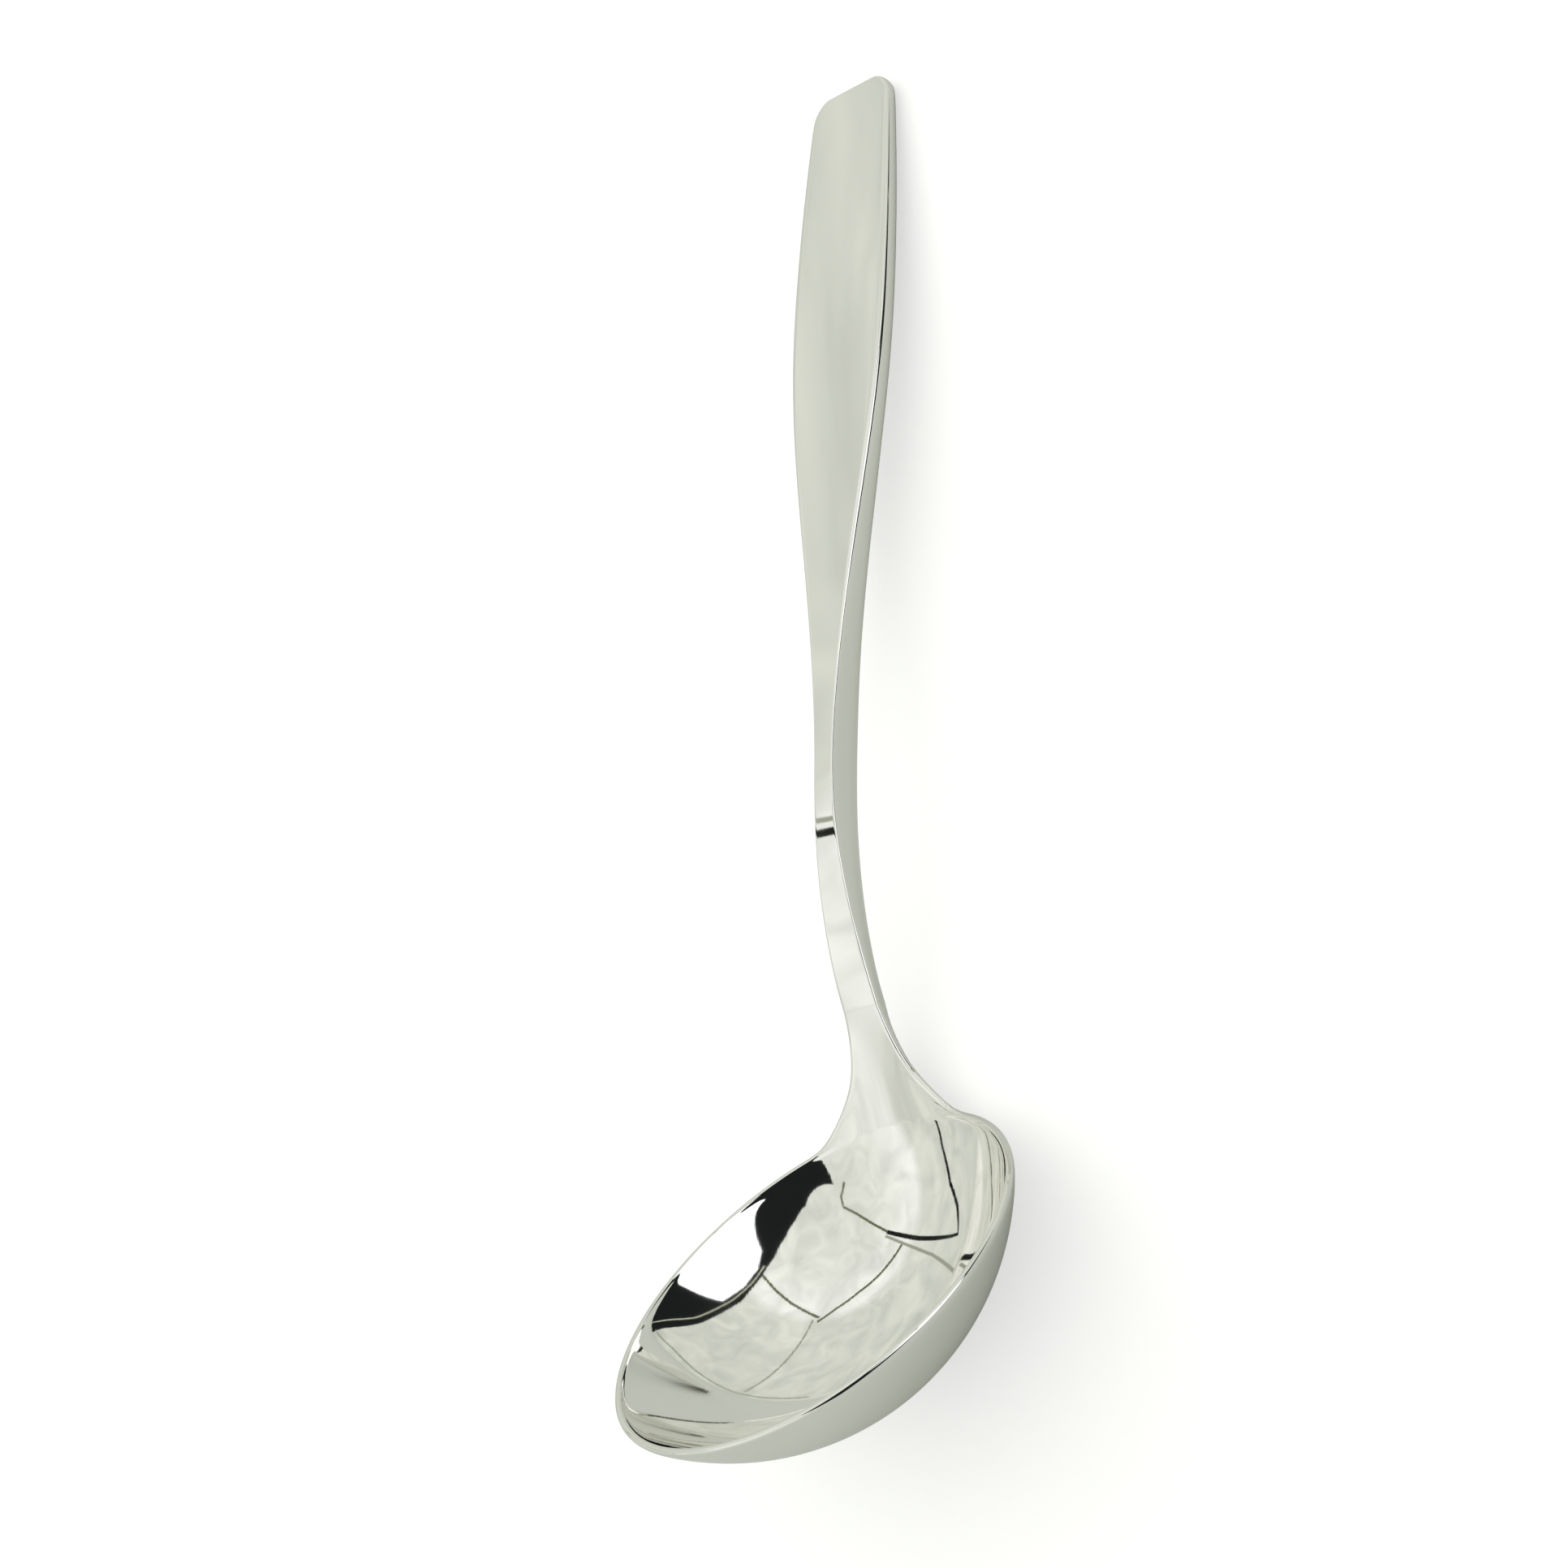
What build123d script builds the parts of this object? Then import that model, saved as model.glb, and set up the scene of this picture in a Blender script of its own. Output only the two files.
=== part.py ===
# Sauce ladle in polished silver, lying at rest on a table.
#
# A round bowl of sheet silver runs out at the back into a tongue.  The tongue
# is hard-soldered, end to end, to a forged handle that bends over at the neck
# and widens into a flat grip.
#
# Frame: +Z up, the table is Z = 0, the handle points to -X, the lip of the
# bowl to +X, and XZ is the plane of symmetry.  All sizes are in millimetres.
import os
from math import acos, atan2, cos, hypot, radians, sin

from build123d import *

os.makedirs("parts", exist_ok=True)

# ---- driving dimensions: bowl ----------------------------------------------
bowl_radius = 27.0  # outside, at the rim
bowl_depth = 15.9  # outside, below the rim
bowl_wall = 0.9
shoulder_radius = 2.5  # outside, where the wall turns upright to the rim

# ---- driving dimensions: tongue --------------------------------------------
tongue_slope = 59.6  # degrees, from the plane of the rim
tongue_length = 14.5  # from the bowl to the solder
tongue_half_width = 9.0  # where it leaves the bowl
flare_length = 5.0  # a flare without end would lose half its width this far up
joint_half_width = 2.5
joint_side = 0.7  # height of the flat sides
joint_thickness = 4.4
solder_gap = 0.12

# ---- driving dimensions: handle --------------------------------------------
bend_radius = 64.5
bend_angle = 26.9  # degrees that the neck turns back
handle_bow = 1400.0  # radius of the long, slight curve of the grip
handle_length = 100.2  # from the bend to the tip
widest_at = 0.645  # share of the handle where the grip is widest
neck_half_width = 1.4  # front face, at its narrowest
neck_side = 2.5
neck_thickness = 5.6
grip_half_width = 7.95
grip_side = 2.1
grip_thickness = 2.9
tip_half_width = 6.4
tip_side = 1.3
tip_thickness = 2.4
tip_corner_radius = 3.0
side_flare = 0.3  # the back edges stand this far outside the front ones
face_crown = 0.15  # the front face of the grip swells by this much

# ---- side profile, in the bowl's own frame ---------------------------------
# A point is (x, z): x runs from the handle to the lip, z stands up out of the
# bowl, and the origin is the centre of the rim.
inner_shoulder = shoulder_radius - bowl_wall
shoulder_centre = bowl_radius - shoulder_radius
bottom_radius = (shoulder_centre**2 + bowl_depth**2 - shoulder_radius**2) / (
    2 * (bowl_depth - shoulder_radius)
)
bottom_centre = bottom_radius - bowl_depth

lean = radians(tongue_slope)
tongue_way = (-cos(lean), sin(lean))
tongue_start = (
    -shoulder_centre - inner_shoulder * sin(lean),
    -inner_shoulder * cos(lean),
)


def along(start, way, distance):
    return tuple(p + distance * w for p, w in zip(start, way))


def turned_back(way, angle):
    """A direction turned from the front of the handle towards its back."""
    return (
        way[0] * cos(angle) - way[1] * sin(angle),
        way[0] * sin(angle) + way[1] * cos(angle),
    )


def arc_end(start, way, radius, angle):
    """Where an arc ends, and which way it then runs."""
    end_way = turned_back(way, angle)
    centre = along(start, turned_back(way, radians(90)), radius)
    return along(centre, turned_back(end_way, radians(90)), -radius), end_way


tongue_end = along(tongue_start, tongue_way, tongue_length)
bend_start = along(tongue_end, tongue_way, solder_gap)


def on_bend(share):
    return arc_end(bend_start, tongue_way, bend_radius, share * radians(bend_angle))


def on_handle(share):
    return arc_end(*on_bend(1), handle_bow, share * handle_length / handle_bow)


# ---- how it lies -----------------------------------------------------------
# The table touches the round bottom of the bowl and the back edge of the tip,
# which fixes how far the bowl tips back.
tip, tip_way = on_handle(1)
foot = along(tip, turned_back(tip_way, radians(90)), tip_thickness)
foot_reach = hypot(foot[0], foot[1] - bottom_centre)
tilt = atan2(foot[0], foot[1] - bottom_centre) + acos(-bottom_radius / foot_reach)

lip_x = shoulder_centre * cos(tilt) + shoulder_radius
tip_x = tip[0] * cos(tilt) - tip[1] * sin(tilt)
rim_height = bottom_radius - bottom_centre * cos(tilt)

rim_plane = Plane(
    origin=(-(lip_x + tip_x) / 2, 0, rim_height),
    x_dir=(cos(tilt), 0, sin(tilt)),
    z_dir=(-sin(tilt), 0, cos(tilt)),
)
side_plane = Plane(origin=rim_plane.origin, x_dir=rim_plane.x_dir, z_dir=(0, -1, 0))


def cross_plane(point, way):
    """Plane across the metal: its x runs sideways, its y towards the back."""
    here = rim_plane.from_local_coords((point[0], 0, point[1]))
    ahead = rim_plane.from_local_coords((point[0] + way[0], 0, point[1] + way[1]))
    return Plane(origin=here, x_dir=(0, 1, 0), z_dir=ahead - here)


def section(plane, half_width, dish, side, thickness):
    """Face across the metal: front arc, two flat sides and a crowned back.

    dish is how far the front hollows, and a negative one swells it.
    """
    back_half = half_width + side_flare
    with BuildSketch(plane) as face:
        with BuildLine():
            ThreePointArc((-half_width, -dish), (0, 0), (half_width, -dish))
            Line((half_width, -dish), (back_half, side - dish))
            ThreePointArc((back_half, side - dish), (0, thickness), (-back_half, side - dish))
            Line((-back_half, side - dish), (-half_width, -dish))
        make_face()
    return face.sketch


# ---- bowl, with its tongue -------------------------------------------------
# Where it leaves the bowl, the tongue is as hollow as the bowl itself.
hollow_radius = -tongue_start[0] / sin(lean)
notch_half_width = 0.8 * tongue_half_width
notch_front = tongue_half_width**2 / hollow_radius
notch_back = 2 * bowl_wall
tongue_root = 0.5  # the tongue starts this far inside the wall that it leaves
tuck = 0.05  # and its faces start this far inside the faces of the wall
tongue_steps = 8


def flare(distance):
    return 1 / (1 + (distance / flare_length) ** 2)


def tongue_section(share):
    """Half width, dish, side and thickness at a share of the tongue."""
    distance = share * tongue_length
    spread = (flare(distance) - flare(tongue_length)) / (1 - flare(tongue_length))
    half_width = joint_half_width + (tongue_half_width - joint_half_width) * spread
    dish = half_width**2 / (2 * hollow_radius)
    start_wall = bowl_wall - 2 * tuck
    side = start_wall + (joint_side - start_wall) * share
    thickness = start_wall + (joint_thickness - start_wall) * share
    return half_width, dish, side, thickness


def tongue_place(share):
    """Plane across the tongue; only its root lies behind the front line."""
    distance = share * (tongue_length + tongue_root) - tongue_root
    point = along(tongue_start, tongue_way, distance)
    return cross_plane(along(point, turned_back(tongue_way, radians(90)), tuck * (1 - share)), tongue_way)


def round_point(centre, radius, angle):
    """A point on an arc of the wall, at an angle below the plane of the rim."""
    return (centre[0] + radius * cos(angle), centre[1] - radius * sin(angle))


# The round bottom meets the shoulder at this angle below the rim.
join = atan2(bottom_centre, shoulder_centre)
middle = (join + radians(90)) / 2

with BuildPart() as bowl:
    with BuildSketch(side_plane):
        with BuildLine():
            for inset in (0, bowl_wall):
                shoulder = ((shoulder_centre, 0), shoulder_radius - inset)
                bottom = ((0, bottom_centre), bottom_radius - inset)
                ThreePointArc(*(round_point(*shoulder, angle) for angle in (0, join / 2, join)))
                ThreePointArc(*(round_point(*bottom, angle) for angle in (join, middle, radians(90))))
            Line((0, -bowl_depth), (0, bowl_wall - bowl_depth))
            ThreePointArc(
                (bowl_radius - bowl_wall, 0),
                (bowl_radius - bowl_wall / 2, bowl_wall / 2),
                (bowl_radius, 0),
            )
        make_face()
    revolve(axis=Axis(rim_plane.origin, rim_plane.z_dir))
    # The upright wall is cut away where the tongue runs out through it.
    with BuildSketch(cross_plane(tongue_start, tongue_way)):
        with Locations((0, (notch_back - notch_front) / 2)):
            Rectangle(2 * notch_half_width, notch_front + notch_back)
    extrude(amount=tongue_length, mode=Mode.SUBTRACT)
    tongue_faces = []
    for step in range(tongue_steps + 1):
        share = step / tongue_steps
        tongue_faces.append(section(tongue_place(share), *tongue_section(share)))
    loft(sections=tongue_faces)
bowl.part.label = "bowl"
export_step(bowl.part, "parts/bowl.step")

# ---- solder joint: the thin film of filler between tongue and handle -------
joint_section = tongue_section(1)

joint_plane = cross_plane(tongue_end, tongue_way)

with BuildPart() as solder_joint:
    add(section(joint_plane, *joint_section))
    extrude(amount=solder_gap, dir=joint_plane.z_dir)
solder_joint.part.label = "solder_joint"
export_step(solder_joint.part, "parts/solder_joint.step")

# ---- handle: neck and grip -------------------------------------------------
neck_section = (neck_half_width, joint_section[1], neck_side, neck_thickness)
grip_section = (grip_half_width, -face_crown, grip_side, grip_thickness)
tip_section = (tip_half_width, -face_crown, tip_side, tip_thickness)
bend_steps = 6
handle_steps = 13


def between(first, second, share):
    return tuple(a + share * (b - a) for a, b in zip(first, second))


def ease(share):
    """A smooth step from 0 to 1, level at both ends."""
    share = min(max(share, 0), 1)
    return share**2 * (3 - 2 * share)


def handle_section(share):
    """Sizes across the handle: neck, then grip, then tip."""
    if share < widest_at:
        return between(neck_section, grip_section, ease(share / widest_at))
    return between(grip_section, tip_section, ((share - widest_at) / (1 - widest_at)) ** 2)


with BuildPart() as handle:
    handle_faces = []
    for step in range(bend_steps):
        share = step / bend_steps
        sizes = between(joint_section, neck_section, ease(share))
        handle_faces.append(section(cross_plane(*on_bend(share)), *sizes))
    for step in range(handle_steps + 1):
        share = step / handle_steps
        handle_faces.append(section(cross_plane(*on_handle(share)), *handle_section(share)))
    loft(sections=handle_faces)
    # The corners of the end are rounded off as seen from the front.
    end_plane = cross_plane(*on_handle(1))
    corner_start = handle_section(1 - tip_corner_radius / handle_length)
    corner_centre = corner_start[0] + side_flare - tip_corner_radius
    with BuildSketch(Plane(origin=end_plane.origin, x_dir=(0, 1, 0), z_dir=end_plane.y_dir)):
        for side in (-1, 1):
            with Locations((side * (corner_centre + tip_corner_radius), 0)):
                Rectangle(2 * tip_corner_radius, 2 * tip_corner_radius)
            with Locations((side * corner_centre, tip_corner_radius)):
                Circle(tip_corner_radius, mode=Mode.SUBTRACT)
    extrude(amount=2 * tip_thickness, both=True, mode=Mode.SUBTRACT)
handle.part.label = "handle"
export_step(handle.part, "parts/handle.step")
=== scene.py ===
# A silver sauce ladle, lying on a pale table with the back of its bowl and the tip of its handle down.
# Lengths are in millimetres until a finished piece is placed, and metres after that.
import math

import bmesh
import bpy
from mathutils import Matrix, Vector


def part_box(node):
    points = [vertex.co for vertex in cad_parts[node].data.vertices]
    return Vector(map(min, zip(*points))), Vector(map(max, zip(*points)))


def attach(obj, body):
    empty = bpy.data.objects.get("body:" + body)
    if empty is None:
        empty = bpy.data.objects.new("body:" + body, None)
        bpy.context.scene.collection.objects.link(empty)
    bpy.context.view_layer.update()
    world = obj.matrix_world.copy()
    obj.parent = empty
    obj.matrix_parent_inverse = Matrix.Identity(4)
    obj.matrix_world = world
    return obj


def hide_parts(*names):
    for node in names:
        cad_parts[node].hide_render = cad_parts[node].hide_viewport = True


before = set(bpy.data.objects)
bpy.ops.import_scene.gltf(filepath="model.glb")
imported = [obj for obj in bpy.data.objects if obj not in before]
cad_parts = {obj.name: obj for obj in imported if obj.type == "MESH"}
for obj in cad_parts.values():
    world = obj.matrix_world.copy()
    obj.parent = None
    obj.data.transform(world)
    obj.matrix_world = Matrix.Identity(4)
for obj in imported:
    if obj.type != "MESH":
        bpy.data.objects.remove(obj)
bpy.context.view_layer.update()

# --- Bowl ---------------------------------------------------------------------------------------
# The bowl is raised from sheet silver, almost part of a ball, with a small shoulder under the rim.
# At the back of the rim the metal is drawn out and up into a tongue that carries the handle.
# It is modelled as the inside skin, ring by ring, then thickened outwards and rounded.
millimetre = 0.001
bowl_tilt = math.radians(36.9155)
bowl_wall = 0.9
bowl_depth = 15.9
shoulder_radius = 2.5
tongue_slope = math.radians(59.6)
tongue_length = 14.5
tongue_half_width = 9.0
flare_length = 5.0
joint_half_width = 2.5
joint_side = 0.8
joint_thickness = 4.4
plain_length = 3  # of the tongue, before its metal starts to thicken
flattening_length = 9  # of the tongue, over which its front loses the bowl's hollow
drawn_in = 0.15  # rounding draws the edges in by about this much, so they start this much wider
columns = 48  # round the bowl
tongue_columns = 3  # each side of the tongue's middle
shoulder_shares = (0.45, 1)  # rings on the shoulder, as shares of its turn
floor_angles = (53.5, 47.5, 41, 34.5, 28, 22, 16.5, 11.5, 7.5, 4, 2, 0.7)  # rings from the middle
rim_push = 0.25  # the tongue's line lies this far outside the rim
shoulder_push = 0.08  # and this far outside the first ring under it
inner_column = 0.5  # the tongue's columns lie at these shares of its half width
outer_column = 0.87
tongue_rows = [4, 6.2, 8.4, 10.6, 12.6, 13.9, 14.5]  # from the bowl, the last at the joint

low, high = (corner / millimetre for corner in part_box("bowl"))
bowl_radius = (high.y - low.y) / 2
shoulder_centre = bowl_radius - shoulder_radius
bottom_radius = (shoulder_centre**2 + bowl_depth**2 - shoulder_radius**2) / (
    2 * (bowl_depth - shoulder_radius)
)
bottom_centre = bottom_radius - bowl_depth
rim_centre = Vector(
    (
        high.x - bottom_radius + bottom_centre * math.sin(bowl_tilt),
        0,
        low.z + bottom_radius - bottom_centre * math.cos(bowl_tilt),
    )
)
rim_place = Matrix.Translation(rim_centre) @ Matrix.Rotation(-bowl_tilt, 4, "Y")

# The tongue's own axes have X along its front, Y across it and Z through it to the back.
tangent = Vector((math.sin(tongue_slope), 0, math.cos(tongue_slope)))
along = Vector((-math.cos(tongue_slope), 0, math.sin(tongue_slope)))
tongue_start = Vector((-shoulder_centre, 0, 0)) - tangent * (shoulder_radius - bowl_wall)
tongue_end = tongue_start + along * tongue_length
tongue_axes = Matrix((along, (0, 1, 0), -tangent)).transposed().to_4x4()
tongue_place = Matrix.Translation(tongue_end) @ tongue_axes
metres = Matrix.Scale(millimetre, 4)
tongue_to_table = metres @ rim_place @ tongue_place


def edit(piece, select="DESELECT"):
    """Opens a piece for editing and returns its editable mesh."""
    bpy.context.view_layer.objects.active = piece
    bpy.ops.object.mode_set(mode="EDIT")
    bpy.ops.mesh.select_all(action=select)
    return bmesh.from_edit_mesh(piece.data)


def close(piece):
    """Ends the editing of a piece and leaves only that piece selected."""
    bpy.ops.object.mode_set(mode="OBJECT")
    bpy.ops.object.select_all(action="DESELECT")
    piece.select_set(True)


def pick_edges(mesh, wanted):
    """Selects just the edges for which wanted(edge) holds."""
    bpy.ops.mesh.select_all(action="DESELECT")
    bpy.ops.mesh.select_mode(type="EDGE")
    for edge in mesh.edges:
        edge.select_set(wanted(edge))
    mesh.select_flush_mode()


def extend(step, width_ratio):
    """Draws the selected edges out along the tongue's X axis, and narrows or widens them."""
    bpy.ops.mesh.extrude_region_move(TRANSFORM_OT_translate={"value": (step, 0, 0)})
    bpy.ops.transform.resize(value=(1, width_ratio, width_ratio**2), center_override=(0, 0, 0))


def thicken(piece, deepest, depth_at, ends):
    """Gives a skin its metal, depth_at(x, y) deep, with two loops in its edge and flat ends."""
    depth = piece.vertex_groups.new(name="depth")
    for vertex in piece.data.vertices:
        depth.add([vertex.index], depth_at(vertex.co.x, vertex.co.y) / deepest, "REPLACE")
    outside = piece.vertex_groups.new(name="outside")
    solid = piece.modifiers.new("metal", "SOLIDIFY")
    solid.thickness = deepest
    solid.offset = -1
    solid.use_even_offset = True
    solid.vertex_group = depth.name
    solid.shell_vertex_group = outside.name
    bpy.ops.object.modifier_apply(modifier=solid.name)
    mesh = edit(piece)
    layer = mesh.verts.layers.deform.active

    def is_outside(vertex):
        return vertex[layer].get(outside.index, 0) > 0.5

    pick_edges(mesh, lambda edge: is_outside(edge.verts[0]) != is_outside(edge.verts[1]))
    bpy.ops.mesh.subdivide(number_cuts=2)
    mesh = bmesh.from_edit_mesh(piece.data)
    for end in ends:
        bpy.ops.mesh.select_all(action="DESELECT")
        bpy.ops.mesh.select_mode(type="FACE")
        for face in mesh.faces:
            face.select_set(abs(face.calc_center_median().x - end) < 0.05 and abs(face.normal.x) > 0.9)
        bpy.ops.transform.resize(value=(0, 1, 1), center_override=(end, 0, 0))
        bpy.ops.mesh.region_to_loop()
        bpy.ops.transform.edge_crease(value=1)
        mesh = bmesh.from_edit_mesh(piece.data)
    close(piece)


def finish_piece(piece, place):
    """Rounds a piece by subdivision, puts it in its place on the table and shades it smooth."""
    rounding = piece.modifiers.new("rounding", "SUBSURF")
    rounding.levels = rounding.render_levels = 2
    bpy.ops.object.modifier_apply(modifier=rounding.name)
    piece.vertex_groups.clear()
    piece.data.transform(place)
    edit(piece, "SELECT")
    bpy.ops.mesh.normals_make_consistent(inside=False)
    close(piece)
    bpy.ops.object.shade_smooth_by_angle(angle=math.radians(50))


def tongue_half_width_at(x):
    """Half width of the tongue at x on its own axes, falling fast from the rim to the joint."""
    def fall(distance):
        return 1 / (1 + (distance / flare_length) ** 2)

    share = (fall(x + tongue_length) - fall(tongue_length)) / (1 - fall(tongue_length))
    return drawn_in + joint_half_width + (tongue_half_width - joint_half_width) * share


def crowd_columns(piece, half_width_at, from_x, over):
    """Slides the inner columns of a skin towards its edges, which stay crisp when it is rounded."""
    mesh = bmesh.from_edit_mesh(piece.data)
    for vertex in mesh.verts:
        x, y, z = vertex.co
        edge = half_width_at(x) if x > from_x else 0
        share = abs(y) / edge if edge else 0
        if 0.1 < share < 0.9:
            full = inner_column if share < 0.5 else outer_column
            amount = min((x - from_x) / over, 1) if over else 1
            ratio = 1 + (full / share - 1) * amount
            vertex.co = (x, y * ratio, z * ratio**2)
    bmesh.update_edit_mesh(piece.data)


inner_radius = bowl_radius - bowl_wall
bpy.ops.object.select_all(action="DESELECT")
bpy.ops.mesh.primitive_circle_add(vertices=columns, radius=inner_radius, fill_type="NOTHING")
bowl = bpy.context.object
bowl.name = "ladle_bowl"
edit(bowl, "SELECT")

shoulder_join = math.atan2(bottom_centre, shoulder_centre)
rings = [
    (
        shoulder_centre + (shoulder_radius - bowl_wall) * math.cos(shoulder_join * share),
        -(shoulder_radius - bowl_wall) * math.sin(shoulder_join * share),
    )
    for share in shoulder_shares
]
rings += [
    (
        (bottom_radius - bowl_wall) * math.sin(math.radians(angle)),
        bottom_centre - (bottom_radius - bowl_wall) * math.cos(math.radians(angle)),
    )
    for angle in floor_angles
]
radius, height = inner_radius, 0
for next_radius, next_height in rings:
    bpy.ops.mesh.extrude_region_move(TRANSFORM_OT_translate={"value": (0, 0, next_height - height)})
    ratio = next_radius / radius
    bpy.ops.transform.resize(value=(ratio, ratio, 1), center_override=(0, 0, 0))
    radius, height = next_radius, next_height
bpy.ops.mesh.extrude_region_move()
bpy.ops.mesh.merge(type="CENTER")
bpy.ops.mesh.select_all(action="SELECT")
bpy.ops.mesh.normals_make_consistent(inside=True)

# The back of the rim is pushed out to the tongue's line before the tongue is drawn from it.
tongue_edge = inner_radius * math.sin(math.radians(360 / columns * tongue_columns))
for ring_height, push in ((0, rim_push), (rings[0][1], shoulder_push)):
    mesh = bmesh.from_edit_mesh(bowl.data)
    bpy.ops.mesh.select_all(action="DESELECT")
    bpy.ops.mesh.select_mode(type="VERT")
    for vertex in mesh.verts:
        at_back = vertex.co.x < 0 and abs(vertex.co.y) < tongue_edge - 1
        vertex.select_set(at_back and abs(vertex.co.z - ring_height) < 0.01)
    mesh.select_flush_mode()
    bpy.ops.transform.translate(value=(-push * tangent.x, 0, -push * tangent.z))
mesh = bmesh.from_edit_mesh(bowl.data)
pick_edges(
    mesh,
    lambda edge: edge.is_boundary
    and all(v.co.x < 0 and abs(v.co.y) < tongue_edge + 0.1 for v in edge.verts),
)
close(bowl)
bowl.data.transform(tongue_place.inverted())
bpy.ops.object.mode_set(mode="EDIT")

def eased(share):
    """A share of 0 to 1, with a gentle start and end."""
    share = min(max(share, 0), 1)
    return share * share * (3 - 2 * share)


def hollow_at(x):
    """Share of the bowl's hollow that is left at x on the tongue, which ends almost flat."""
    return 1 - 0.98 * eased((x + flattening_length) / (flattening_length - 0.5))


row = tongue_rows[0] - tongue_length
bpy.ops.mesh.extrude_region_move()
bpy.ops.transform.resize(value=(0, 1, 1), center_override=(row, 0, 0))
mesh = bmesh.from_edit_mesh(bowl.data)
middle = max(v.co.z for v in mesh.verts if v.select)
bpy.ops.transform.translate(value=(0, 0, -middle))
ratio = tongue_half_width_at(row) / tongue_edge
bpy.ops.transform.resize(value=(1, ratio, ratio**2), center_override=(0, 0, 0))
for place_along in tongue_rows[1:]:
    next_row = place_along - tongue_length
    extend(next_row - row, tongue_half_width_at(next_row) / tongue_half_width_at(row))
    flatter = hollow_at(next_row) / hollow_at(row)
    bpy.ops.transform.resize(value=(1, 1, flatter), center_override=(0, 0, 0))
    row = next_row
bpy.ops.transform.resize(value=(1, 1, 0), center_override=(0, 0, 0))
crowd_columns(bowl, tongue_half_width_at, from_x=tongue_rows[0] - tongue_length - 0.1, over=5)
close(bowl)


def bowl_depth_at(x, y):
    """Metal at a point of the bowl's skin: plain sheet, growing up the tongue and along its middle."""
    climb = min(max((x + tongue_length - plain_length) / (tongue_length - plain_length), 0), 1)
    side = bowl_wall + (joint_side - bowl_wall) * climb
    centre = bowl_wall + (joint_thickness - bowl_wall) * climb
    across = min(abs(y) / tongue_half_width_at(max(x, -tongue_length)), 1)
    return side + (centre - side) * (1 - across**2)


thicken(bowl, joint_thickness, bowl_depth_at, ends=[0])
finish_piece(bowl, tongue_to_table)

silver_colour = (0.93, 0.92, 0.885, 1)


def polish_group():
    """Hand polish on every silver piece: haze, fine lines and faint waviness."""
    group = bpy.data.node_groups.new("hand_polish", "ShaderNodeTree")
    for name, kind, value in (
        ("Vector", "NodeSocketVector", (0, 0, 0)),
        ("Roughness", "NodeSocketFloat", 0.04),
        ("Lines", "NodeSocketFloat", 0.02),
        ("Waves", "NodeSocketFloat", 0.05),
    ):
        group.interface.new_socket(name, in_out="INPUT", socket_type=kind).default_value = value
    group.interface.new_socket("Roughness", in_out="OUTPUT", socket_type="NodeSocketFloat")
    group.interface.new_socket("Tone", in_out="OUTPUT", socket_type="NodeSocketFloat")
    group.interface.new_socket("Normal", in_out="OUTPUT", socket_type="NodeSocketVector")
    nodes, link = group.nodes, group.links.new
    given = nodes.new("NodeGroupInput")
    result = nodes.new("NodeGroupOutput")

    stretched = nodes.new("ShaderNodeMapping")
    stretched.inputs["Scale"].default_value = (60, 3800, 3800)
    fine = nodes.new("ShaderNodeTexNoise")
    fine.inputs["Scale"].default_value = 1
    fine.inputs["Detail"].default_value = 3
    link(given.outputs["Vector"], stretched.inputs["Vector"])
    link(stretched.outputs["Vector"], fine.inputs["Vector"])

    hammer = nodes.new("ShaderNodeTexNoise")
    hammer.inputs["Scale"].default_value = 130
    hammer.inputs["Detail"].default_value = 1
    link(given.outputs["Vector"], hammer.inputs["Vector"])

    haze = nodes.new("ShaderNodeTexNoise")
    haze.inputs["Scale"].default_value = 75
    haze.inputs["Detail"].default_value = 5
    link(given.outputs["Vector"], haze.inputs["Vector"])
    spread = nodes.new("ShaderNodeMapRange")
    spread.inputs["From Min"].default_value = 0.35
    spread.inputs["From Max"].default_value = 0.75
    spread.inputs["To Min"].default_value = 0.7
    spread.inputs["To Max"].default_value = 1.7
    link(haze.outputs["Fac"], spread.inputs["Value"])
    rough = nodes.new("ShaderNodeMath")
    rough.operation = "MULTIPLY"
    link(given.outputs["Roughness"], rough.inputs[0])
    link(spread.outputs["Result"], rough.inputs[1])
    link(rough.outputs["Value"], result.inputs["Roughness"])
    link(haze.outputs["Fac"], result.inputs["Tone"])

    wave_bump = nodes.new("ShaderNodeBump")
    wave_bump.inputs["Distance"].default_value = 0.0003
    link(given.outputs["Waves"], wave_bump.inputs["Strength"])
    link(hammer.outputs["Fac"], wave_bump.inputs["Height"])
    line_bump = nodes.new("ShaderNodeBump")
    line_bump.inputs["Distance"].default_value = 0.00005
    link(given.outputs["Lines"], line_bump.inputs["Strength"])
    link(fine.outputs["Fac"], line_bump.inputs["Height"])
    link(wave_bump.outputs["Normal"], line_bump.inputs["Normal"])
    link(line_bump.outputs["Normal"], result.inputs["Normal"])
    return group


hand_polish = polish_group()


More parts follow.
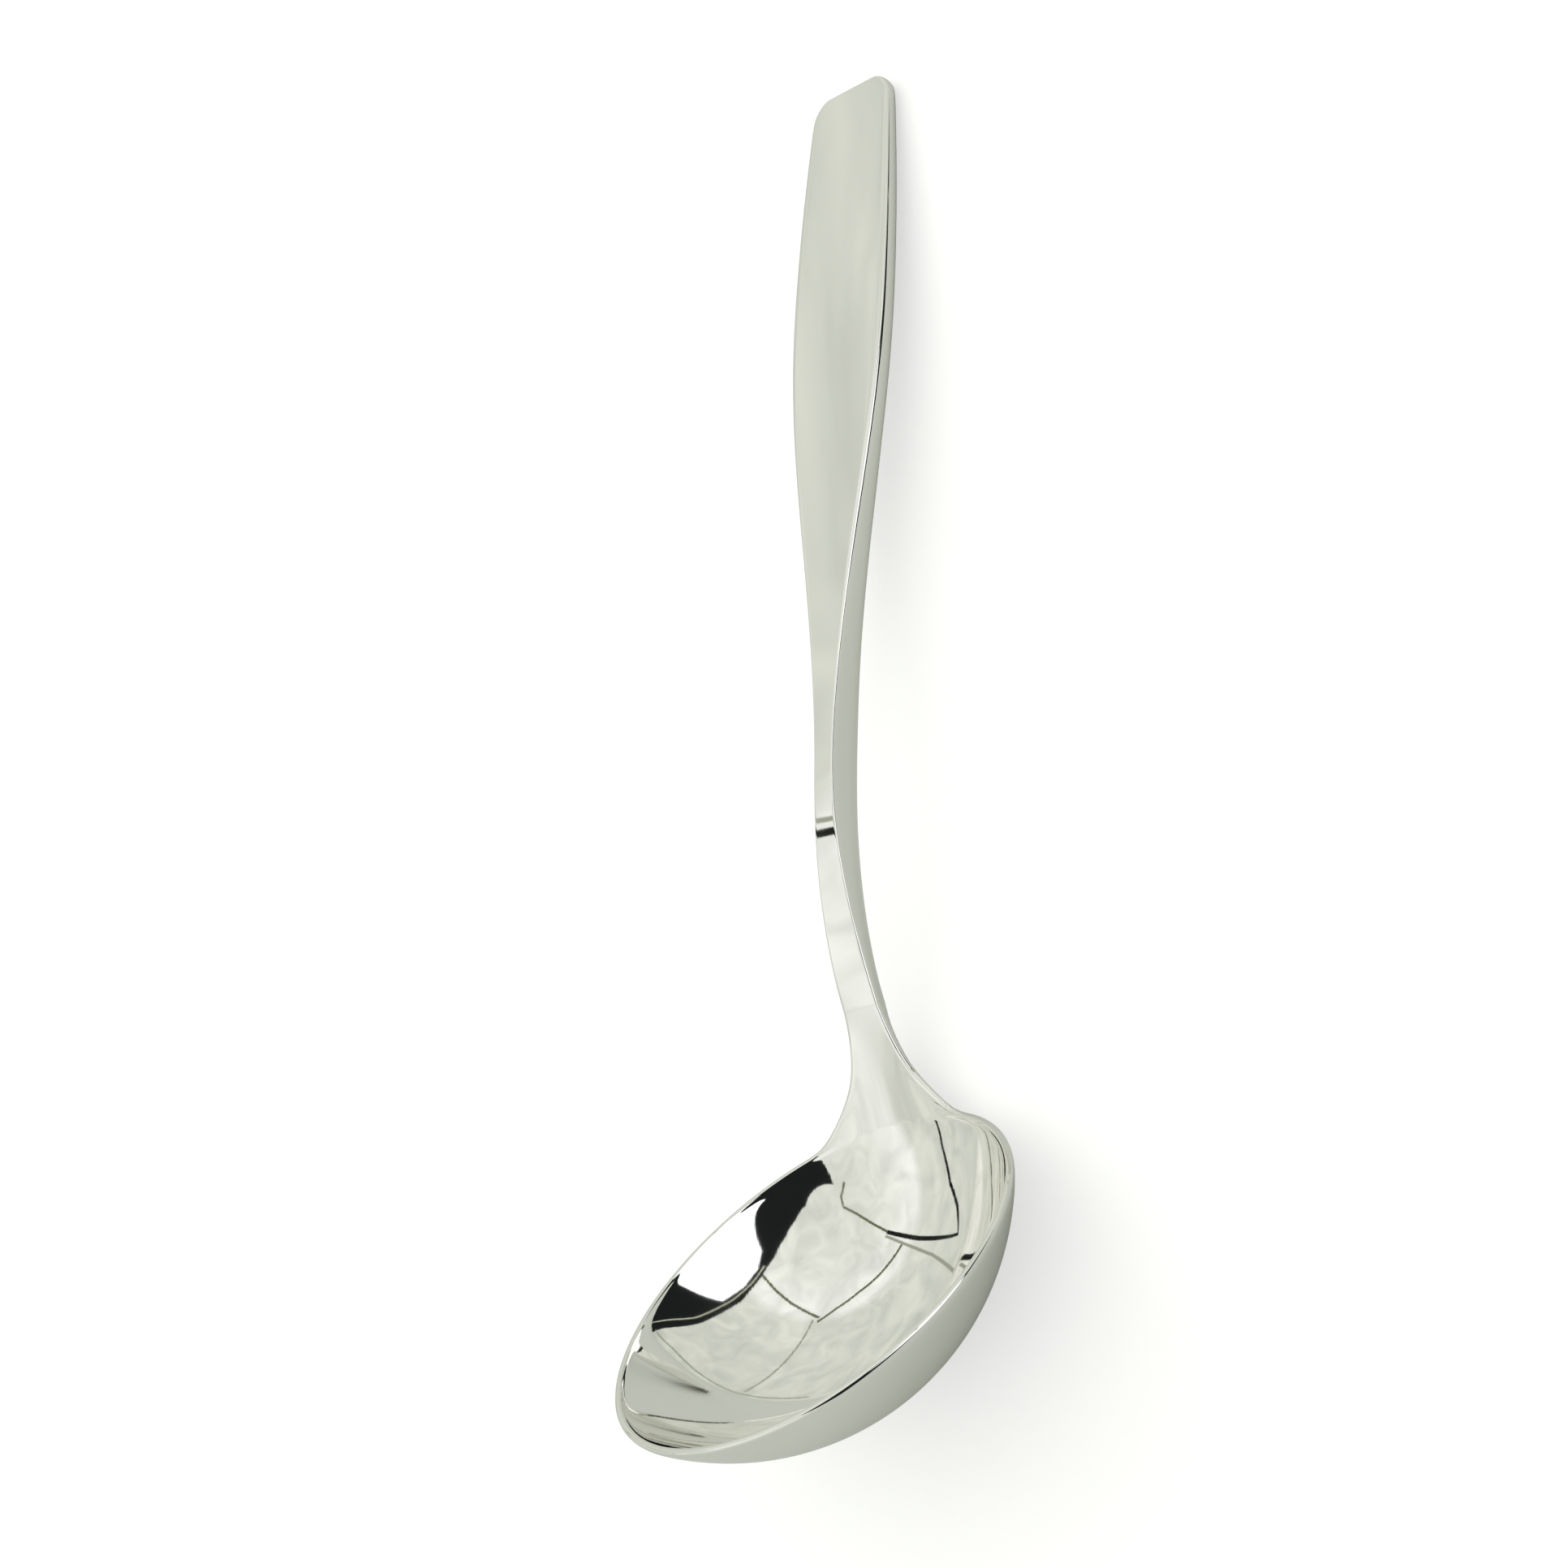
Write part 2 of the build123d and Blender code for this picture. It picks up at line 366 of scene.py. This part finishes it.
def polished_silver(name, colour, roughness, lines, waves):
    """Polished silver with its own share of haze, lines and waviness."""
    material = bpy.data.materials.new(name)
    material.use_nodes = True
    nodes, link = material.node_tree.nodes, material.node_tree.links.new
    shader = nodes["Principled BSDF"]
    shader.inputs["Metallic"].default_value = 1
    where = nodes.new("ShaderNodeTexCoord")
    polish = nodes.new("ShaderNodeGroup")
    polish.node_tree = hand_polish
    polish.inputs["Roughness"].default_value = roughness
    polish.inputs["Lines"].default_value = lines
    polish.inputs["Waves"].default_value = waves
    tone = nodes.new("ShaderNodeMix")
    tone.data_type = "RGBA"
    tone.inputs["A"].default_value = colour
    tone.inputs["B"].default_value = [channel * 0.96 for channel in colour[:3]] + [1]
    link(where.outputs["Object"], polish.inputs["Vector"])
    link(polish.outputs["Tone"], tone.inputs["Factor"])
    link(tone.outputs["Result"], shader.inputs["Base Color"])
    link(polish.outputs["Roughness"], shader.inputs["Roughness"])
    link(polish.outputs["Normal"], shader.inputs["Normal"])
    return material


bowl.data.materials.append(polished_silver("bowl_silver", silver_colour, 0.035, 0.02, 0.04))
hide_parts("bowl")
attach(bowl, "root")

# --- Solder joint ---------------------------------------------------------------------------------
# A film of silver solder holds the handle to the tongue. It is filed flush and polished over,
# so that only a hair line shows, a little yellower than the silver on each side.
solder_film = 0.12
first_step = 0.06  # a new strip starts this long
solder_colour = (0.90, 0.88, 0.81, 1)
joint_edge = joint_half_width + drawn_in


def strip(name, start, half_width):
    """A new flat skin, six columns wide, with its far edge selected and ready to be drawn out."""
    bpy.ops.object.select_all(action="DESELECT")
    bpy.ops.mesh.primitive_grid_add(x_subdivisions=1, y_subdivisions=2 * tongue_columns, size=1)
    piece = bpy.context.object
    piece.name = name
    size = Matrix.Diagonal((first_step, 2 * half_width, 1, 1))
    piece.data.transform(Matrix.Translation((start + first_step / 2, 0, 0)) @ size)
    edit(piece, "SELECT")
    bpy.ops.mesh.flip_normals()
    crowd_columns(piece, lambda x: half_width, from_x=start - 1, over=0)
    mesh = bmesh.from_edit_mesh(piece.data)
    pick_edges(mesh, lambda edge: all(v.co.x > start + first_step / 2 for v in edge.verts))
    return piece


def joint_depth_at(x, y):
    """Metal of the tongue, the solder and the handle where they meet."""
    across = min(abs(y) / joint_edge, 1)
    return joint_side + (joint_thickness - joint_side) * (1 - across**2)


solder = strip("solder_seam", 0, joint_edge)
extend(solder_film - first_step, 1)
close(solder)
thicken(solder, joint_thickness, joint_depth_at, ends=[0, solder_film])
finish_piece(solder, tongue_to_table)
solder.data.materials.append(polished_silver("seam_solder", solder_colour, 0.09, 0.04, 0.02))
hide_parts("solder_joint")
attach(solder, "root")

# --- Handle ---------------------------------------------------------------------------------------
# The handle is forged from a bar: a deep narrow neck, then a broad flat grip, cut off square.
# It is drawn out straight, given its depth, and then bent: sharply above the joint, slightly after.
bend_radius = 64.5
bend_length = bend_radius * math.radians(26.9)
handle_bow = 1400.0
handle_length = 100.2
widest_at = 0.645
neck_half_width = 1.4
neck_side = 3.6
neck_thickness = 5.6
grip_half_width = 7.95
grip_side = 2.3
grip_thickness = 2.9
tip_half_width = 6.4
tip_side = 1.6
tip_thickness = 2.4
tip_corner_radius = 3.0
face_crown = 0.15
tip_reserve = 8.4  # length at the tip that is left to closer rows
handle_end = solder_film + bend_length + handle_length


def handle_size_at(x, joint, neck, grip, tip):
    """One size of the handle at x from the joint, going from its joint value to its tip value."""
    if x < solder_film + bend_length:
        return joint + (neck - joint) * eased((x - solder_film) / bend_length)
    share = (x - solder_film - bend_length) / handle_length
    if share < widest_at:
        return neck + (grip - neck) * eased(share / widest_at)
    return grip + (tip - grip) * ((share - widest_at) / (1 - widest_at)) ** 2


def handle_half_width_at(x):
    """Half width of the handle, with the two corners of its end rounded."""
    width = handle_size_at(x, joint_half_width, neck_half_width, grip_half_width, tip_half_width)
    into_corner = max(x - (handle_end - tip_corner_radius), 0)
    return drawn_in + width - tip_corner_radius + math.sqrt(tip_corner_radius**2 - into_corner**2)


def handle_depth_at(x, y):
    """Metal of the handle: its sides, and its rounded back in the middle."""
    side = handle_size_at(x, joint_side, neck_side, grip_side, tip_side)
    centre = handle_size_at(x, joint_thickness, neck_thickness, grip_thickness, tip_thickness)
    across = min(abs(y) / handle_half_width_at(min(x, handle_end - 0.05)), 1)
    fullness = 2 + 2 * eased((x - solder_film) / bend_length)
    return side + (centre - side) * (1 - across**fullness)


# The rows lie closer in the bend than in the grip, and closest at the joint and at the rounded tip.
handle = strip("ladle_handle", solder_film, joint_edge)
rows = [0.8, 2.6] + [5.2 + 4.2 * step for step in range(8)]
grip_steps = 13
grip_start = rows[-1]
grip_step = (handle_end - grip_start - tip_reserve) / grip_steps
rows += [grip_start + grip_step * step for step in range(1, grip_steps + 1)]
rows += [handle_end - to_end for to_end in (5, 3.1, 1.9, 0.9, 0.3, 0.04)]
row = solder_film + first_step
for next_row in rows:
    extend(next_row - row, handle_half_width_at(next_row) / handle_half_width_at(row))
    row = next_row
close(handle)
for vertex in handle.data.vertices:
    vertex.co.z += face_crown * (vertex.co.y / grip_half_width) ** 2
thicken(handle, neck_thickness, handle_depth_at, ends=[solder_film])


def turned_at(x):
    """How far the handle has turned at x, bent sharply at first and slightly after."""
    sharp = min(x - solder_film, bend_length)
    return sharp / bend_radius + (x - solder_film - sharp) / handle_bow


# Each bend turns all the metal beyond a point half way between two rows, from the tip back.
stops = [solder_film, solder_film + first_step] + rows
for near, far in reversed(list(zip(stops, stops[1:]))):
    middle = (near + far) / 2
    mesh = edit(handle)
    bpy.ops.mesh.select_mode(type="VERT")
    for vertex in mesh.verts:
        vertex.select_set(vertex.co.x > middle)
    mesh.select_flush_mode()
    bpy.ops.transform.rotate(
        value=turned_at(far) - turned_at(near),
        orient_axis="Y",
        orient_type="GLOBAL",
        center_override=(middle, 0, 0),
    )
    close(handle)
finish_piece(handle, tongue_to_table)
handle.data.materials.append(polished_silver("handle_silver", silver_colour, 0.04, 0.02, 0.02))
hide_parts("handle")
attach(handle, "root")

# --- Camera ---------------------------------------------------------------------------------------
# The camera looks down on the bowl's open side with the handle running away and up the picture.
look_at = Vector((0.01239, 0.00149, 0.02195))
look_from = Vector((0.37190, 0.62408, 0.68718))
camera_distance = 0.42
camera_roll = math.radians(-69.776)
camera_data = bpy.data.cameras.new("camera")
camera_data.lens = 82.34
camera_data.clip_start = 0.01
camera = bpy.data.objects.new("camera", camera_data)
camera.matrix_world = (
    Matrix.Translation(look_at + look_from * camera_distance)
    @ look_from.to_track_quat("Z", "Y").to_matrix().to_4x4()
    @ Matrix.Rotation(camera_roll, 4, "Z")
)
bpy.context.scene.collection.objects.link(camera)
bpy.context.scene.camera = camera

# --- Table ----------------------------------------------------------------------------------------
# A plain white board, matt, much larger than the ladle.
bpy.ops.object.select_all(action="DESELECT")
bpy.ops.mesh.primitive_plane_add(size=6, location=(0, 0, -0.0001))
table = bpy.context.object
table.name = "table"
board = bpy.data.materials.new("board")
board.use_nodes = True
board_shader = board.node_tree.nodes["Principled BSDF"]
board_shader.inputs["Base Color"].default_value = (0.66, 0.68, 0.62, 1)
board_shader.inputs["Roughness"].default_value = 0.8
board_shader.inputs["Emission Color"].default_value = (0.52, 0.51, 0.53, 1)
seen = board.node_tree.nodes.new("ShaderNodeLightPath")
board.node_tree.links.new(seen.outputs["Is Camera Ray"], board_shader.inputs["Emission Strength"])
table.data.materials.append(board)

# --- Light tent -----------------------------------------------------------------------------------
# The ladle stands in a tent of pale cloth, which the silver mirrors. Its front is open and dark,
# with a soft lamp in it, and dark cords run along the seams. Only the reflections see the tent.
tent_radius = 0.7
opening_radius = 0.68
lamp_radius = 0.66
cord_radius = 0.63
opening_light = (0.012, 0.014, 0.014, 1)
lamp_light = (1.25, 1.27, 1.3, 1)
cloth_tones = (
    (0.30, (0.50, 0.53, 0.47, 1)),
    (0.52, (0.66, 0.69, 0.62, 1)),
    (0.84, (0.73, 0.755, 0.69, 1)),
    (0.865, (0.95, 0.97, 0.93, 1)),
    (0.93, (0.85, 0.87, 0.82, 1)),
    (1.0, (0.78, 0.80, 0.74, 1)),
)


def glow(name, colour):
    """A surface that only gives light."""
    material = bpy.data.materials.new(name)
    material.use_nodes = True
    nodes = material.node_tree.nodes
    nodes.remove(nodes["Principled BSDF"])
    emission = nodes.new("ShaderNodeEmission")
    emission.name = "light"
    emission.inputs["Color"].default_value = colour
    surface = nodes["Material Output"].inputs["Surface"]
    material.node_tree.links.new(emission.outputs["Emission"], surface)
    return material


def tent_cloth():
    """Pale cloth, dim near the table and brightest where the lamps above shine through it."""
    material = glow("tent_cloth", (1, 1, 1, 1))
    nodes, link = material.node_tree.nodes, material.node_tree.links.new
    where = nodes.new("ShaderNodeTexCoord")
    height = nodes.new("ShaderNodeSeparateXYZ")
    span = nodes.new("ShaderNodeMapRange")
    span.inputs["From Min"].default_value = -tent_radius
    span.inputs["From Max"].default_value = tent_radius
    tones = nodes.new("ShaderNodeValToRGB")
    ramp = tones.color_ramp
    ramp.elements[0].position, ramp.elements[0].color = cloth_tones[0]
    ramp.elements[1].position, ramp.elements[1].color = cloth_tones[-1]
    for place, tone in cloth_tones[1:-1]:
        ramp.elements.new(place).color = tone
    link(where.outputs["Object"], height.inputs["Vector"])
    link(height.outputs["Z"], span.inputs["Value"])
    link(span.outputs["Result"], tones.inputs["Fac"])
    crumple = nodes.new("ShaderNodeTexNoise")
    crumple.inputs["Scale"].default_value = 7
    crumple.inputs["Detail"].default_value = 8
    crumple.inputs["Distortion"].default_value = 1.2
    link(where.outputs["Object"], crumple.inputs["Vector"])
    folds = nodes.new("ShaderNodeMapRange")
    folds.inputs["From Min"].default_value = 0.3
    folds.inputs["From Max"].default_value = 0.7
    folds.inputs["To Min"].default_value = 0.84
    folds.inputs["To Max"].default_value = 1.1
    link(crumple.outputs["Fac"], folds.inputs["Value"])
    link(tones.outputs["Color"], nodes["light"].inputs["Color"])
    link(folds.outputs["Result"], nodes["light"].inputs["Strength"])
    return material


def on_tent(turn, rise, radius):
    """The point of the tent at a compass direction and a height, in degrees."""
    turn, rise = math.radians(turn), math.radians(rise)
    return (
        radius * math.cos(rise) * math.cos(turn),
        radius * math.cos(rise) * math.sin(turn),
        radius * math.sin(rise),
    )


def only_mirrored(piece):
    """Shows a stage piece in reflections and nowhere else."""
    piece.visible_camera = False
    piece.visible_diffuse = False
    piece.visible_shadow = False
    piece.visible_transmission = False


bpy.ops.object.select_all(action="DESELECT")
bpy.ops.mesh.primitive_uv_sphere_add(segments=180, ring_count=90, radius=tent_radius)
tent = bpy.context.object
tent.name = "light_tent"
tent.data.materials.append(tent_cloth())
only_mirrored(tent)


def between(rows, share):
    """A row at a share of the way through rows, by straight lines from row to row."""
    at = share * (len(rows) - 1)
    index = min(int(at), len(rows) - 2)
    return [a + (b - a) * (at - index) for a, b in zip(rows[index], rows[index + 1])]


# Each row of a panel gives its height and its two sides, in degrees, from the bottom up.
opening_rows = (
    (-8, 16, 142),
    (5, 16, 140.5),
    (20, 14, 142),
    (40, 12, 141),
    (52, 10, 135),
    (62, 5, 127),
    (70, 0, 114),
    (76, -10, 96),
    (80, -20, 70),
)
lamp_rows = (
    (1, 66, 91),
    (8, 63, 100),
    (14, 61, 109),
    (20, 60, 119),
    (27, 60, 128),
    (34, 60, 136),
    (45, 60, 134),
    (54, 62, 128),
    (59, 66, 117),
)
for name, radius, light, rows in (
    ("tent_opening", opening_radius, opening_light, opening_rows),
    ("soft_lamp", lamp_radius, lamp_light, lamp_rows),
):
    bpy.ops.object.select_all(action="DESELECT")
    bpy.ops.mesh.primitive_grid_add(x_subdivisions=60, y_subdivisions=40, size=1)
    panel = bpy.context.object
    panel.name = name
    for vertex in panel.data.vertices:
        rise, left, right = between(rows, vertex.co.y + 0.5)
        vertex.co = on_tent(left + (right - left) * (vertex.co.x + 0.5), rise, radius)
    panel.data.materials.append(glow(name, light))
    only_mirrored(panel)

black_cord = glow("black_cord", (0.01, 0.012, 0.01, 1))
seam_cord = glow("seam_cord", (0.13, 0.14, 0.08, 1))
hem_cord = glow("hem_cord", (0.34, 0.36, 0.29, 1))
pale_cord = glow("pale_cord", (0.60, 0.61, 0.48, 1))
hanging_cord = ((-113, 60), (-111, 42), (-107, 16), (-101, 20), (-94, 26), (-84, 28), (-76, 26))
opening_side = ((128, 57), (134, 49), (137.5, 38), (138.5, 20), (136, 5), (133, -4))
roof_line = ((-40, 77), (-50, 82), (-80, 83), (-100, 77), (-110, 68), (-113, 59))
for name, thickness, material, stops in (
    ("opening_cord", 0.008, black_cord, hanging_cord),
    ("roof_seam", 0.005, seam_cord, roof_line),
    ("opening_hem", 0.003, pale_cord, opening_side),
    ("left_seam", 0.006, seam_cord, ((-174, 44), (-165, 49), (-150, 52), (-135, 52), (-116, 50))),
    ("left_corner", 0.004, hem_cord, ((-177, 45), (-177, 3))),
    ("front_corner", 0.005, hem_cord, ((-116, 60), (-114, 30), (-114, 4))),
    ("left_hem", 0.004, hem_cord, ((-180, 1), (-165, 2), (-156, 2))),
    ("front_hem", 0.004, hem_cord, ((-128, 8), (-114, 6), (-103, 4), (-95, 1))),
    ("right_seam", 0.006, seam_cord, ((133, 54), (150, 53), (165, 51), (186, 46))),
    ("right_hem", 0.004, hem_cord, ((140, 2), (150, 3), (165, 2), (180, 1))),
):
    path = bpy.data.curves.new(name, "CURVE")
    path.dimensions = "3D"
    path.bevel_depth = thickness
    line = path.splines.new("POLY")
    line.points.add(len(stops) - 1)
    for point, (turn, rise) in zip(line.points, stops):
        point.co = (*on_tent(turn, rise, cord_radius), 1)
    path.materials.append(material)
    cord = bpy.data.objects.new(name, path)
    bpy.context.scene.collection.objects.link(cord)
    only_mirrored(cord)

# --- Lamps ----------------------------------------------------------------------------------------
# Two large soft lamps above the table, and the pale light of the room.
for name, place, size, power in (
    ("top_lamp", (0.1, 0.0, 1.2), 1.6, 5),
    ("side_lamp", (-0.6, -0.9, 0.9), 1.2, 2),
):
    lamp = bpy.data.lights.new(name, "AREA")
    lamp.size = size
    lamp.energy = power
    stand = bpy.data.objects.new(name, lamp)
    stand.location = place
    stand.rotation_euler = Vector(place).to_track_quat("Z", "Y").to_euler()
    stand.visible_glossy = False
    bpy.context.scene.collection.objects.link(stand)
world = bpy.data.worlds.new("room")
world.use_nodes = True
world.node_tree.nodes["Background"].inputs["Color"].default_value = (0.95, 0.97, 0.95, 1)
world.node_tree.nodes["Background"].inputs["Strength"].default_value = 0.55
bpy.context.scene.world = world
bpy.context.scene.view_settings.view_transform = "Standard"
